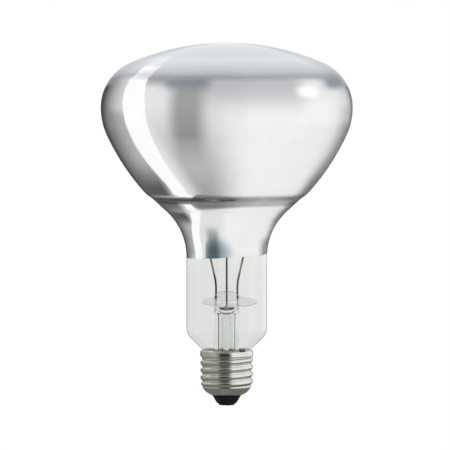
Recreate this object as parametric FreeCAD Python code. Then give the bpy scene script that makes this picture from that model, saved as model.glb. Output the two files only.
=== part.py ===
# Infrared reflector lamp: a blown R125 bulb, silvered inside, on an E27 screw cap.
# The lamp axis is +Z with the cap at the bottom. The origin is the middle of the
# flat face of the centre contact. Sizes are in millimetres and angles in degrees.
import FreeCAD, Part

import math
import os
from collections import namedtuple

from FreeCAD import Vector

# Glass bulb
bulb_diameter = 125.0
crown_radius = 120.0
front_shoulder_radius = 24.0
back_shoulder_radius = 33.0
side_radius = 115.0
side_blend_angle = 25.0
mould_step = 0.9
mould_ridge_radius = 16.0
mould_hollow_radius = 22.0
mould_step_above_flare = 6.0
flare_radius = 31.0
neck_diameter = 40.0
neck_length = 35.2
neck_corner_radius = 7.0
neck_cone_angle = 45.0
neck_rim_clearance = 0.9
seal_clearance = 0.9
seal_corner_radius = 2.0
seal_above_insulator = 9.0
bulb_wall = 1.0

# Silvering inside the bulb
silver_thickness = 0.12
silver_clearance = 0.03
silver_edge_above_neck = 0.8
silver_front_angle = 42.0

# Screw cap
cap_height = 27.5
collar_diameter = 26.3
collar_height = 3.5
thread_diameter = 26.1
thread_pitch = 3.629
thread_depth = 1.1
thread_run_in = 3.0
thread_start_azimuth = 105.0
root_flat_lift = 0.1
shell_wall = 0.35
shell_base_height = 5.0
shell_mouth_diameter = 14.4
shell_shoulder_round = 1.5
shell_shoulder_angle = 29.0
shell_base_bulge = 7.5

# Insulator and centre contact
insulator_lap = 0.05
insulator_tip_margin = 0.75
insulator_flange_lap = 0.8
insulator_flange_height = 2.6
insulator_bore = 1.8
contact_diameter = 8.2
contact_thickness = 1.0
contact_edge_round = 0.7
contact_solder_diameter = 1.8

# Cement and rim solder
cement_above_seal = 3.2
cement_below_rim = 0.8
rim_solder_length = 3.4
rim_solder_height = 1.3
rim_solder_depth = 1.5
rim_solder_azimuth = -51.0

# Glass stem: flare tube, pinched press and exhaust tube
stem_tube_diameter = 12.4
stem_tube_wall = 1.2
stem_tube_length = 28.0
press_taper_height = 7.6
press_blade_height = 4.4
press_thickness = 5.0
press_lobe_drop = 0.8
press_edge_drop = 2.4
exhaust_diameter = 6.0
exhaust_wall = 0.9
exhaust_tip_below_seal = 3.0
exhaust_hole_diameter = 2.0
exhaust_hole_rise_angle = 50.0

# Heat shield disc
disc_diameter = 27.4
disc_thickness = 0.3
disc_offset = 1.4
disc_slot_clearance = 0.15
disc_tilt = 7.0

# Lead wires and filament supports
inner_lead_diameter = 1.0
inner_lead_embed = 4.0
inner_lead_rise = 4.0
inner_lead_bend = 25.0
lead_glass_cover = 0.4
seal_wire_diameter = 0.4
outer_lead_diameter = 0.5
outer_lead_embed = 3.0
outer_lead_bend = 1.2
outer_lead_clearance = 0.05
contact_lead_rise = 0.6
shell_lead_drop = 1.2
shell_lead_end = 0.2
post_diameter = 0.9
post_embed = 7.0
post_below_filament = 1.0
hook_diameter = 0.5
hook_fall = 5.0
hook_spacing = 1.2
hook_azimuths = (30.0, 90.0, 150.0)

# Filament
filament_height = 110.0
filament_ring_diameter = 32.0
filament_coil_diameter = 1.8
filament_gap_angle = 140.0
filament_loop_clearance = 0.05
clamp_length = 3.0
clamp_wall = 0.4

# Derived sizes
Z_AXIS = Vector(0, 0, 1)
ORIGIN = Vector(0, 0, 0)
LEFT = -1
RIGHT = 1
bulb_r = bulb_diameter / 2
neck_r = neck_diameter / 2
collar_r = collar_diameter / 2
collar_bore_r = collar_r - shell_wall
collar_z = cap_height - collar_height
thread_r = thread_diameter / 2
thread_round = (thread_pitch**2 / 4 + thread_depth**2) / (4 * thread_depth)
crest_centre_r = thread_r - thread_round
root_centre_r = thread_r - thread_depth + thread_round
core_r = thread_r - thread_depth + root_flat_lift
shell_bore_r = core_r - shell_wall
mouth_r = shell_mouth_diameter / 2
shell_floor_z = shell_base_height + shell_wall
insulator_top_z = shell_floor_z + insulator_flange_height
neck_rim_r = collar_bore_r - neck_rim_clearance
seal_r = shell_bore_r - seal_clearance
seal_z = insulator_top_z + seal_above_insulator
stem_tube_r = stem_tube_diameter / 2
stem_bore_r = stem_tube_r - stem_tube_wall
press_z = seal_z + stem_tube_length
press_seat_z = press_z + press_taper_height
press_top_z = press_seat_z + press_blade_height
exhaust_r = exhaust_diameter / 2
exhaust_tip_z = seal_z - exhaust_tip_below_seal
lead_offset = stem_tube_r - lead_glass_cover - inner_lead_diameter / 2
outer_lead_offset = (exhaust_r + stem_bore_r) / 2
filament_ring_r = filament_ring_diameter / 2
filament_start = filament_gap_angle / 2 - 90
filament_end = 270 - filament_gap_angle / 2


def in_section(r, z):
    """A point of the half section, which lies in the XZ plane."""
    return Vector(r, 0, z)


def around(r, azimuth, z):
    """A point at a radius and azimuth about the lamp axis."""
    angle = math.radians(azimuth)
    return Vector(r * math.cos(angle), r * math.sin(angle), z)


def polar(radius, degrees):
    """A step in the half section, by its length and its angle from +X."""
    angle = math.radians(degrees)
    return in_section(radius * math.cos(angle), radius * math.sin(angle))


def line_edges(points):
    return [Part.makeLine(a, b) for a, b in zip(points, points[1:])]


def arc_edge(centre, radius, start, end):
    """An arc of the half section about a centre, by its angles from +X."""
    marks = [centre + polar(radius, angle) for angle in (start, (start + end) / 2, end)]
    return Part.Arc(*marks).toShape()


def face_of(edges):
    return Part.Face(Part.Wire(Part.__sortEdges__(edges)))


def turned(edges):
    """The solid of revolution of a closed outline of the half section."""
    return face_of(edges).revolve(ORIGIN, Z_AXIS, 360)


def cylinder(radius, bottom, top):
    return Part.makeCylinder(radius, top - bottom, in_section(0, bottom), Z_AXIS)


def bent_rod(points, bend_radius, diameter):
    """A round rod along straight runs, with a tangent arc at each corner."""
    edges = []
    start = points[0]
    for before, corner, after in zip(points, points[1:], points[2:]):
        into = (corner - before).normalize()
        out = (after - corner).normalize()
        half_turn = into.getAngle(out) / 2
        shorter_run = min((corner - before).Length, (after - corner).Length)
        setback = min(bend_radius * math.tan(half_turn), shorter_run / 2)
        bend = setback / math.tan(half_turn)
        first, last = corner - into * setback, corner + out * setback
        inward = (out - into).normalize()
        middle = corner + inward * (bend / math.cos(half_turn) - bend)
        edges += line_edges([start, first])
        edges.append(Part.Arc(first, middle, last).toShape())
        start = last
    edges += line_edges([start, points[-1]])
    heading = (points[1] - points[0]).normalize()
    section = Part.Wire(Part.makeCircle(diameter / 2, points[0], heading))
    return Part.Wire(edges).makePipeShell([section], True, True)


# Outline of the bulb: arcs that meet their neighbours at a common tangent. Each arc keeps
# its centre when the outline is moved inwards through the wall, so the wall is even.
OutlineArc = namedtuple("OutlineArc", "centre radius bulge start end")


def bulb_arcs():
    """The outer outline as arcs, from the seal in the cap up to the crown."""
    slope = math.radians(neck_cone_angle)
    cone_line = math.cos(slope) * neck_rim_r - math.sin(slope) * cap_height

    def height_on_cone(centre_r, radius):
        return (math.cos(slope) * centre_r + radius - cone_line) / math.sin(slope)

    seal_centre_r = seal_r + seal_corner_radius
    seal_corner = in_section(seal_centre_r, height_on_cone(seal_centre_r, -seal_corner_radius))
    corner_centre_r = neck_r - neck_corner_radius
    neck_corner = in_section(corner_centre_r, height_on_cone(corner_centre_r, neck_corner_radius))

    flare = in_section(neck_r + flare_radius, neck_corner.z + neck_length)
    back_r = bulb_r - back_shoulder_radius
    blend = math.radians(side_blend_angle)
    back_to_side = side_radius - back_shoulder_radius
    side_r = back_r - back_to_side * math.cos(blend)
    lower_side_radius = side_radius - mould_step
    side_to_flare = lower_side_radius + flare_radius
    flare_drop = math.sqrt(side_to_flare**2 - (flare.x - side_r) ** 2)
    side = in_section(side_r, flare.z + flare_drop)
    flare_angle = math.degrees(math.atan2(flare_drop, flare.x - side_r))

    # The mould's two halves leave a shallow step in the side: a ridge, then a hollow under it.
    step_low_angle = flare_angle - math.degrees(mould_step_above_flare / lower_side_radius)
    ridge_reach = side_radius - mould_ridge_radius
    hollow_reach = lower_side_radius + mould_hollow_radius
    ridge_to_hollow = mould_ridge_radius + mould_hollow_radius
    step_turn = math.acos(
        (ridge_reach**2 + hollow_reach**2 - ridge_to_hollow**2) / (2 * ridge_reach * hollow_reach)
    )
    step_high_angle = step_low_angle - math.degrees(step_turn)
    ridge = side + polar(ridge_reach, -step_high_angle)
    hollow = side + polar(hollow_reach, -step_low_angle)
    crossing_angle = math.degrees(math.atan2(ridge.z - hollow.z, hollow.x - ridge.x))

    widest_z = side.z - back_to_side * math.sin(blend)
    back = in_section(back_r, widest_z)
    front = in_section(bulb_r - front_shoulder_radius, widest_z)
    crown_to_front = crown_radius - front_shoulder_radius
    crown_drop = math.sqrt(crown_to_front**2 - front.x**2)
    crown = in_section(0, widest_z - crown_drop)
    crown_angle = math.degrees(math.atan2(crown_drop, front.x))

    return {
        "seal_corner": OutlineArc(seal_corner, seal_corner_radius, -1, 180, 180 - neck_cone_angle),
        "neck_corner": OutlineArc(neck_corner, neck_corner_radius, 1, -neck_cone_angle, 0),
        "flare": OutlineArc(flare, flare_radius, -1, 180, 180 - flare_angle),
        "lower_side": OutlineArc(side, lower_side_radius, 1, -flare_angle, -step_low_angle),
        "hollow": OutlineArc(hollow, mould_hollow_radius, -1, 180 - step_low_angle, 180 - crossing_angle),
        "ridge": OutlineArc(ridge, mould_ridge_radius, 1, -crossing_angle, -step_high_angle),
        "side": OutlineArc(side, side_radius, 1, -step_high_angle, -side_blend_angle),
        "back_shoulder": OutlineArc(back, back_shoulder_radius, 1, -side_blend_angle, 0),
        "front_shoulder": OutlineArc(front, front_shoulder_radius, 1, 0, crown_angle),
        "crown": OutlineArc(crown, crown_radius, 1, crown_angle, 90),
    }


def outline_edges(arcs, inset):
    """The arcs, moved inwards by an inset, with straight runs between those that don't meet."""
    edges = []
    for arc in arcs:
        piece = arc_edge(arc.centre, arc.radius - arc.bulge * inset, arc.start, arc.end)
        first = piece.valueAt(piece.FirstParameter)
        if edges and not edges[-1].Vertexes[-1].Point.isEqual(first, Part.Precision.confusion()):
            edges.append(Part.makeLine(edges[-1].Vertexes[-1].Point, first))
        edges.append(piece)
    return edges


def ends_of(edges):
    return edges[0].Vertexes[0].Point, edges[-1].Vertexes[-1].Point


def glass_bulb():
    """The blown bulb: an even wall from the seal to the crown."""
    arcs = list(bulb_arcs().values())
    outside = outline_edges(arcs, 0)
    inside = outline_edges(arcs, bulb_wall)
    outside_low, outside_top = ends_of(outside)
    inside_low, inside_top = ends_of(inside)
    seal_end = [
        outside_low,
        in_section(seal_r, seal_z),
        in_section(seal_r - bulb_wall, seal_z),
        inside_low,
    ]
    return turned(outside + inside + line_edges(seal_end) + line_edges([outside_top, inside_top]))


def bulb_outside():
    """The space that the bulb takes up, hollow and all."""
    outside = outline_edges(list(bulb_arcs().values()), 0)
    low, top = ends_of(outside)
    axis = [low, in_section(seal_r, seal_z), in_section(0, seal_z), top]
    return turned(outside + line_edges(axis))


def reflector_coating():
    """The aluminium film on the bulb's inside, from the neck past the widest ring."""
    arcs = bulb_arcs()
    first_turn = math.degrees(math.asin(silver_edge_above_neck / flare_radius))
    silvered = [
        arcs["flare"]._replace(start=180 - first_turn),
        arcs["lower_side"],
        arcs["hollow"],
        arcs["ridge"],
        arcs["side"],
        arcs["back_shoulder"],
        arcs["front_shoulder"]._replace(end=silver_front_angle),
    ]
    outside_inset = bulb_wall + silver_clearance
    outside = outline_edges(silvered, outside_inset)
    inside = outline_edges(silvered, outside_inset + silver_thickness)
    rims = [line_edges(pair) for pair in zip(ends_of(outside), ends_of(inside))]
    return turned(outside + inside + rims[0] + rims[1])


# Glass stem


def press_taper_radius():
    """The jaw curve that takes the round tube down to the flat press."""
    pinch = stem_tube_r - press_thickness / 2
    return (pinch**2 + press_taper_height**2) / (2 * pinch)


def press_blank():
    """The end of the tube, pinched flat between two jaws, with a two-lobed top."""
    half = press_thickness / 2
    reach = stem_tube_r + stem_tube_wall

    def on_side(y, z):
        return Vector(-reach, y, z)

    jaw_radius = press_taper_radius()
    jaw_turn = math.asin(press_taper_height / jaw_radius) / 2
    mid_y = half + jaw_radius * (1 - math.cos(jaw_turn))
    mid_z = press_seat_z - jaw_radius * math.sin(jaw_turn)
    jaws = line_edges([
        on_side(-half, press_seat_z),
        on_side(-half, press_top_z),
        on_side(half, press_top_z),
        on_side(half, press_seat_z),
    ])
    jaws += line_edges([on_side(stem_tube_r, press_z), on_side(-stem_tube_r, press_z)])
    for side in (LEFT, RIGHT):
        jaws.append(Part.Arc(
            on_side(side * half, press_seat_z),
            on_side(side * mid_y, mid_z),
            on_side(side * stem_tube_r, press_z),
        ).toShape())
    pinched = face_of(jaws).extrude(Vector(2 * reach, 0, 0))

    def on_front(x, z):
        return Vector(x, -reach, z)

    edge_z = press_top_z - press_edge_drop
    valley = on_front(0, press_top_z - press_lobe_drop)
    front = line_edges([
        on_front(-stem_tube_r, edge_z),
        on_front(-stem_tube_r, press_z),
        on_front(stem_tube_r, press_z),
        on_front(stem_tube_r, edge_z),
    ])
    for side in (LEFT, RIGHT):
        lobe_top = on_front(side * stem_tube_r / 2, press_top_z)
        front.append(Part.Arc(on_front(side * stem_tube_r, edge_z), lobe_top, valley).toShape())
    lobed = face_of(front).extrude(Vector(0, 2 * reach, 0))
    return cylinder(stem_tube_r, press_z, press_top_z).common(pinched).common(lobed)


def flare_tube():
    """The tube below the press, opening like a trumpet to meet the bulb's seal."""
    trumpet_r = seal_r - bulb_wall
    curl = trumpet_r - stem_tube_r
    centre = in_section(trumpet_r, seal_z + curl)
    rim_z = seal_z - stem_tube_wall
    edges = line_edges([
        in_section(stem_tube_r, centre.z),
        in_section(stem_tube_r, press_z),
        in_section(stem_bore_r, press_z),
        in_section(stem_bore_r, centre.z),
    ])
    edges += line_edges([
        in_section(trumpet_r, rim_z),
        in_section(seal_r, rim_z),
        in_section(seal_r, seal_z),
        in_section(trumpet_r, seal_z),
    ])
    edges.append(arc_edge(centre, curl, 180, 270))
    edges.append(arc_edge(centre, curl + stem_tube_wall, 180, 270))
    return turned(edges)


def exhaust_hole():
    """The blown hole that joins the exhaust tube's bore to the inside of the bulb."""
    rise = math.radians(exhaust_hole_rise_angle)
    heading = Vector(0, math.cos(rise), math.sin(rise))
    return Part.makeCylinder(
        exhaust_hole_diameter / 2, stem_tube_diameter, in_section(0, press_z - exhaust_wall), heading
    )


def glass_stem(embedded):
    """Flare tube and press in one piece of glass, fused round the wires."""
    stem = flare_tube().fuse(press_blank()).removeSplitter()
    stem = stem.cut(exhaust_hole())
    for wire in embedded:
        stem = stem.cut(wire)
    return stem


def exhaust_tube():
    """The tube the lamp was pumped through, sealed off to a round tip."""
    bore = exhaust_r - exhaust_wall
    tip = in_section(0, exhaust_tip_z + exhaust_r)
    edges = line_edges([
        in_section(exhaust_r, tip.z),
        in_section(exhaust_r, press_z),
        in_section(bore, press_z),
        in_section(bore, tip.z),
    ])
    edges.append(arc_edge(tip, exhaust_r, 0, -90))
    edges.append(arc_edge(tip, bore, 0, -90))
    edges += line_edges([in_section(0, exhaust_tip_z), in_section(0, tip.z - bore)])
    return turned(edges)


def heat_shield_disc():
    """The mica disc, slotted off its middle to slip over the press until its taper stops it."""
    slot_half = press_thickness / 2 + disc_slot_clearance
    slot_r = stem_tube_r + disc_slot_clearance
    tilt = math.radians(disc_tilt)
    jaw_radius = press_taper_radius()
    room = slot_half * math.cos(tilt) - press_thickness / 2
    stop_z = press_seat_z - math.sqrt(jaw_radius**2 - (jaw_radius - room) ** 2)
    disc = cylinder(disc_diameter / 2, 0, disc_thickness)
    disc.translate(in_section(disc_offset, 0))
    slot = cylinder(slot_r, 0, disc_thickness).common(
        Part.makeBox(2 * slot_r, 2 * slot_half, disc_thickness, Vector(-slot_r, -slot_half, 0))
    )
    disc = disc.cut(slot)
    disc.rotate(ORIGIN, Vector(1, 0, 0), disc_tilt)
    disc.translate(in_section(0, stop_z + slot_half * math.sin(tilt)))
    return disc


# Lead wires, filament and supports


def lead_tip(side):
    """Where a lead takes hold of its end of the filament."""
    azimuth = filament_start if side == RIGHT else filament_end
    return around(filament_ring_r, azimuth, filament_height)


def inner_lead(side):
    """The nickel lead from the press up to the filament, with its end clamped round the coil."""
    tip = lead_tip(side)
    foot = in_section(side * lead_offset, press_top_z - inner_lead_embed)
    clamp_r = filament_coil_diameter / 2 + clamp_wall
    rod = bent_rod(
        [
            foot,
            foot + Z_AXIS * (inner_lead_embed + inner_lead_rise),
            tip - Z_AXIS * (clamp_r + inner_lead_rise),
            tip - Z_AXIS * (filament_coil_diameter + clamp_wall) / 2,
        ],
        inner_lead_bend,
        inner_lead_diameter,
    )
    tangent = Vector(-tip.y, tip.x, 0).normalize()
    back = tip - tangent * clamp_length / 2
    clamp = Part.makeCylinder(clamp_r, clamp_length, back, tangent)
    return rod.fuse(clamp).removeSplitter().cut(coil_space())


def seal_wire(side):
    """The short wire that the press glass seals to, between inner and outer lead."""
    top = in_section(side * lead_offset, press_top_z - inner_lead_embed)
    length = top.z - press_z - outer_lead_embed
    return Part.makeCylinder(seal_wire_diameter / 2, length, top, -Z_AXIS)


def outer_lead_top(side):
    """The run of an outer lead from the press down into the tube."""
    return [
        in_section(side * lead_offset, press_z + outer_lead_embed),
        in_section(side * lead_offset, press_z + outer_lead_embed / 2),
        in_section(side * outer_lead_offset, press_z),
    ]


def outer_lead_contact():
    """The outer lead that goes round the exhaust tip and down the axis to the centre contact."""
    points = outer_lead_top(LEFT) + [
        in_section(LEFT * outer_lead_offset, exhaust_tip_z),
        in_section(0, insulator_top_z + contact_lead_rise),
        in_section(0, contact_thickness / 2),
    ]
    return bent_rod(points, outer_lead_bend, outer_lead_diameter)


def outer_lead_shell():
    """The outer lead that goes under the seal and up inside the shell to the rim."""
    beside_seal_r = (seal_r + shell_bore_r) / 2
    at_rim_r = collar_bore_r - outer_lead_clearance - outer_lead_diameter / 2
    under_z = seal_z - stem_tube_wall - shell_lead_drop
    step_z = collar_z + shell_wall
    points = outer_lead_top(RIGHT) + [
        in_section(RIGHT * outer_lead_offset, under_z),
        around(beside_seal_r, rim_solder_azimuth, under_z),
        around(beside_seal_r, rim_solder_azimuth, step_z),
        around(at_rim_r, rim_solder_azimuth, step_z + at_rim_r - beside_seal_r),
        around(at_rim_r, rim_solder_azimuth, cap_height + shell_lead_end),
    ]
    return bent_rod(points, outer_lead_bend, outer_lead_diameter)


def support_post():
    """The middle wire in the press, which carries the filament hooks."""
    return cylinder(
        post_diameter / 2, press_top_z - post_embed, filament_height - post_below_filament
    )


def filament_arc(section_r):
    """A ring segment of the given thickness along the filament's line."""
    sweep = filament_end - filament_start
    start = around(filament_ring_r, filament_start, filament_height)
    heading = Vector(-start.y, start.x, 0)
    disc = Part.Face(Part.Wire(Part.makeCircle(section_r, start, heading)))
    return disc.revolve(ORIGIN, Z_AXIS, sweep)


def filament():
    """The tungsten coil, as the outer form of its turns."""
    return filament_arc(filament_coil_diameter / 2)


def coil_space():
    return filament_arc(filament_coil_diameter / 2)


def support_hook(azimuth, fall):
    """A molybdenum wire from the post out to a loop round the filament."""
    loop_r = filament_coil_diameter / 2 + filament_loop_clearance + hook_diameter / 2
    at_coil = around(filament_ring_r, azimuth, filament_height)
    along = around(1, azimuth + 90, 0)
    loop = Part.makeTorus(loop_r, hook_diameter / 2, at_coil, along)
    from_post = around(post_diameter / 2, azimuth, filament_height - fall)
    to_loop = at_coil - Z_AXIS * loop_r
    heading = to_loop - from_post
    rod = Part.makeCylinder(hook_diameter / 2, heading.Length, from_post, heading)
    rod = rod.cut(support_post())
    return rod.fuse(loop).removeSplitter()


# Screw cap


def base_centres():
    """Centres of the base's two arcs: the shoulder under the side, and the bulge to the mouth."""
    shoulder_to_bulge = polar(shell_base_bulge - shell_shoulder_round, 180 - shell_shoulder_angle)
    shoulder_r = core_r - shell_shoulder_round
    bulge_r = shoulder_r + shoulder_to_bulge.x
    bulge_rise = math.sqrt(shell_base_bulge**2 - (mouth_r - bulge_r) ** 2)
    bulge = in_section(bulge_r, shell_base_height + bulge_rise)
    return bulge - shoulder_to_bulge, bulge


def shell_outline(inset):
    """The shell's side and base without its thread, moved inwards by an inset, as edges."""
    side_r = core_r - inset
    shoulder, bulge = base_centres()
    bulge_radius = shell_base_bulge - inset
    mouth_angle = math.degrees(math.acos((mouth_r - bulge.x) / bulge_radius))
    edges = [
        arc_edge(bulge, bulge_radius, -mouth_angle, -shell_shoulder_angle),
        arc_edge(shoulder, shell_shoulder_round - inset, -shell_shoulder_angle, 0),
    ]
    step_z = collar_z + inset
    edges += line_edges([
        in_section(side_r, shoulder.z),
        in_section(side_r, step_z),
        in_section(collar_r - inset, step_z),
        in_section(collar_r - inset, cap_height),
    ])
    return edges


def plain_shell():
    """The drawn cap before its thread is rolled: collar, side and rounded base."""
    outside = shell_outline(0)
    inside = shell_outline(shell_wall)
    ends = [line_edges(pair) for pair in zip(ends_of(outside), ends_of(inside))]
    return turned(outside + inside + ends[0] + ends[1])


def thread_envelope():
    """The space the thread may fill: full under the collar, running in over the rounded base."""
    low_z = base_centres()[0].z
    edges = line_edges([
        in_section(0, low_z),
        in_section(core_r, low_z),
        in_section(thread_r + thread_round, low_z + thread_run_in),
        in_section(thread_r + thread_round, collar_z + shell_wall / 2),
        in_section(0, collar_z + shell_wall / 2),
        in_section(0, low_z),
    ])
    return turned(edges)


def thread_ridge():
    """The rounded screw thread: one crest arc between two root arcs, swept up a helix."""
    low_z = base_centres()[0].z - thread_pitch
    turns = math.ceil((collar_z - low_z) / thread_pitch) + 1
    half_pitch = thread_pitch / 2
    touch = math.degrees(math.asin(half_pitch / (2 * thread_round)))
    crest = in_section(crest_centre_r, low_z)
    root_end_r = core_r - root_flat_lift / 2
    root_turn = math.degrees(math.acos((root_centre_r - root_end_r) / thread_round))
    inner_r = core_r - shell_wall / 2
    edges = [arc_edge(crest, thread_round, -touch, touch)]
    flank_ends = []
    for side in (LEFT, RIGHT):
        root = in_section(root_centre_r, low_z + side * half_pitch)
        edges.append(arc_edge(root, thread_round, 180 + side * touch, 180 + side * root_turn))
        flank_ends.append(edges[-1].Vertexes[-1].Point)
    low_end, high_end = flank_ends
    edges += line_edges([
        low_end,
        in_section(inner_r, low_end.z),
        in_section(inner_r, high_end.z),
        high_end,
    ])
    section = Part.Wire(Part.__sortEdges__(edges))
    helix = Part.makeHelix(thread_pitch, turns * thread_pitch, crest_centre_r)
    helix.translate(in_section(0, low_z))
    return Part.Wire(helix).makePipeShell([section], True, True)


def screw_shell():
    """The E27 shell: a drawn cap with the thread rolled into its side."""
    ridge = thread_ridge()
    ridge.rotate(ORIGIN, Z_AXIS, thread_start_azimuth)
    return plain_shell().fuse(ridge.common(thread_envelope()))


def shell_cavity():
    """The space inside the shell, up to the rim."""
    inside = shell_outline(shell_wall)
    low, high = ends_of(inside)
    axis = [high, in_section(0, high.z), in_section(0, low.z), low]
    return turned(inside + line_edges(axis))


def cap_insulator():
    """The black glass that fills the shell's mouth and carries the contact."""
    bore_r = insulator_bore / 2
    flange_r = mouth_r + insulator_flange_lap
    tip_r = contact_diameter / 2 + insulator_tip_margin
    edges = line_edges([
        in_section(bore_r, contact_thickness),
        in_section(tip_r, contact_thickness),
        in_section(mouth_r + insulator_lap, shell_base_height),
        in_section(mouth_r, shell_base_height),
        in_section(mouth_r, shell_floor_z),
        in_section(flange_r, shell_floor_z),
        in_section(flange_r, insulator_top_z),
        in_section(bore_r, insulator_top_z),
        in_section(bore_r, contact_thickness),
    ])
    return turned(edges).cut(plain_shell())


def contact_plate():
    """The centre contact: a flat brass button with a soldered hole."""
    hole_r = contact_solder_diameter / 2
    outer_r = contact_diameter / 2
    edge = in_section(outer_r - contact_edge_round, contact_edge_round)
    edges = line_edges([
        in_section(outer_r, edge.z),
        in_section(outer_r, contact_thickness),
        in_section(hole_r, contact_thickness),
        in_section(hole_r, 0),
        in_section(edge.x, 0),
    ])
    edges.append(arc_edge(edge, contact_edge_round, -90, 0))
    return turned(edges)


def contact_solder(lead):
    """The solder that joins the lead to the contact, dressed flush with its face."""
    return cylinder(contact_solder_diameter / 2, 0, contact_thickness).cut(lead)


def basing_cement(lead):
    """The ring of cement between the bulb's seal and the shell."""
    ring = cylinder(collar_r, seal_z + cement_above_seal, cap_height - cement_below_rim)
    return ring.common(shell_cavity()).cut(bulb_outside()).cut(lead)


def rim_solder(lead):
    """The blob of solder over the lead's end on the rim of the shell."""
    blob = Part.makeSphere(1)
    stretch = FreeCAD.Matrix()
    stretch.scale(rim_solder_depth / 2, rim_solder_length / 2, rim_solder_height)
    blob = blob.transformGeometry(stretch)
    blob.rotate(ORIGIN, Z_AXIS, rim_solder_azimuth)
    blob.translate(around(collar_r - rim_solder_depth / 2, rim_solder_azimuth, cap_height))
    return blob.cut(cylinder(2 * collar_r, 0, cap_height)).cut(bulb_outside()).cut(lead)


def build():
    leads = {side: inner_lead(side) for side in (LEFT, RIGHT)}
    seals = {side: seal_wire(side) for side in (LEFT, RIGHT)}
    post = support_post()
    to_contact = outer_lead_contact()
    to_shell = outer_lead_shell()
    embedded = [*leads.values(), *seals.values(), post, to_contact, to_shell]
    parts = {
        "glass_bulb": glass_bulb(),
        "reflector_coating": reflector_coating(),
        "glass_stem": glass_stem(embedded),
        "exhaust_tube": exhaust_tube(),
        "heat_shield_disc": heat_shield_disc(),
        "inner_lead_left": leads[LEFT],
        "inner_lead_right": leads[RIGHT],
        "seal_wire_left": seals[LEFT],
        "seal_wire_right": seals[RIGHT],
        "outer_lead_contact": to_contact,
        "outer_lead_shell": to_shell,
        "support_post": post,
        "filament": filament(),
        "screw_shell": screw_shell(),
        "cap_insulator": cap_insulator(),
        "contact_plate": contact_plate(),
        "contact_solder": contact_solder(to_contact),
        "basing_cement": basing_cement(to_shell),
        "rim_solder": rim_solder(to_shell),
    }
    for number, azimuth in enumerate(hook_azimuths, start=1):
        parts[f"support_hook_{number}"] = support_hook(azimuth, hook_fall + number * hook_spacing)
    return parts


os.makedirs("parts", exist_ok=True)
for name, shape in build().items():
    solids = shape.Solids
    print(f"{name}: {len(solids)} solid, {shape.Volume:.2f} mm3, valid {shape.isValid()}")
    (solids[0] if len(solids) == 1 else shape).exportStep(f"parts/{name}.step")
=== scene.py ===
# %% [markdown]
# # An infrared heat lamp bulb
# The lamp is a blown glass bulb, silvered on its inside, on a threaded cap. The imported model
# comes in first as a fixed frame. Everything below dresses that frame: nothing moves it.

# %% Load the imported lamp
import math
from functools import reduce

import bmesh
import bpy
from mathutils import Matrix, Vector, noise


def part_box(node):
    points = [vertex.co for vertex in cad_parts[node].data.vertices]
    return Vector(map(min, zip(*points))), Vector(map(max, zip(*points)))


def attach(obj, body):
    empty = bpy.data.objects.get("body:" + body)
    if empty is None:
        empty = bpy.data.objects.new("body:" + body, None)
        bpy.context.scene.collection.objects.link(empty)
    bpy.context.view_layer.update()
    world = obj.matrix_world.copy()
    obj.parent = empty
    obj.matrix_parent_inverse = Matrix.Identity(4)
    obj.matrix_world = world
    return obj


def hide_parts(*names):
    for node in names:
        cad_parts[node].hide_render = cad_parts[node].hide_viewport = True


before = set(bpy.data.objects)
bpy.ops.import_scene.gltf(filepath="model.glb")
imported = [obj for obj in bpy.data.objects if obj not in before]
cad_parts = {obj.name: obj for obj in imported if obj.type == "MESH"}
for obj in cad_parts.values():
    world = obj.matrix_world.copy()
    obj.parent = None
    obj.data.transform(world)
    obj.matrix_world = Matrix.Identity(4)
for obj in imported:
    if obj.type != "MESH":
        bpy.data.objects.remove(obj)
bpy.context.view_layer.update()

mm = 0.001
scene = bpy.context.scene
scene.view_settings.view_transform = "Standard"

# %% [markdown]
# ## Turning a profile
# Most of this lamp is round: blown, drawn or turned about one axis. Such a piece is a half
# section that goes once round the axis, so two small helpers draw sections. An arc is one
# vertex spun about the arc's centre, and a straight run is one vertex pulled out of the last.

# %% Helpers that draw a half section
FULL_TURN = 2 * math.pi
LAMP_AXIS = (0, 0, 1)
SECTION_AXIS = (0, 1, 0)


def in_section(r, z):
    """A point of the half section, given in millimetres."""
    return Vector((r * mm, 0, z * mm))


def start_at(bm, r, z):
    return bm.verts.new(in_section(r, z))


def arc(bm, tip, centre, degrees, steps):
    """Carries the section on from its tip, round a centre. Clockwise is positive."""
    made = bmesh.ops.spin(bm, geom=[tip], cent=centre, axis=SECTION_AXIS,
                          angle=math.radians(degrees), steps=steps)
    return made["geom_last"][0]


def run_to(bm, tip, r, z):
    """Carries the section on from its tip, straight to a point."""
    made = bmesh.ops.extrude_vert_indiv(bm, verts=[tip])
    made["verts"][0].co = in_section(r, z)
    return made["verts"][0]


def run_through(bm, tip, *points):
    """Carries the section on from its tip, straight from point to point."""
    for r, z in points:
        tip = run_to(bm, tip, r, z)
    return tip


def turn(bm, steps):
    """Takes the section once round the lamp's axis."""
    bmesh.ops.spin(bm, geom=bm.verts[:] + bm.edges[:], cent=(0, 0, 0), axis=LAMP_AXIS,
                   angle=FULL_TURN, steps=steps, use_merge=True)


# %% Helpers that finish a piece
merge_distance = 0.002 * mm
crease_angle = math.radians(38)


def close_up(bm):
    """Merges doubles at seams and poles, and points the faces outwards."""
    bmesh.ops.remove_doubles(bm, verts=bm.verts[:], dist=merge_distance)
    bmesh.ops.recalc_face_normals(bm, faces=bm.faces[:])


def face_out(bm):
    """Turns the faces of an open sheet away from the lamp's axis."""
    if sum(f.normal.x * f.calc_center_median().x for f in bm.faces) < 0:
        bmesh.ops.reverse_faces(bm, faces=bm.faces[:])


def new_object(bm, name):
    """Makes the mesh an object of the scene."""
    mesh = bpy.data.meshes.new(name)
    bm.to_mesh(mesh)
    bm.free()
    made = bpy.data.objects.new(name, mesh)
    scene.collection.objects.link(made)
    return made


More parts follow.
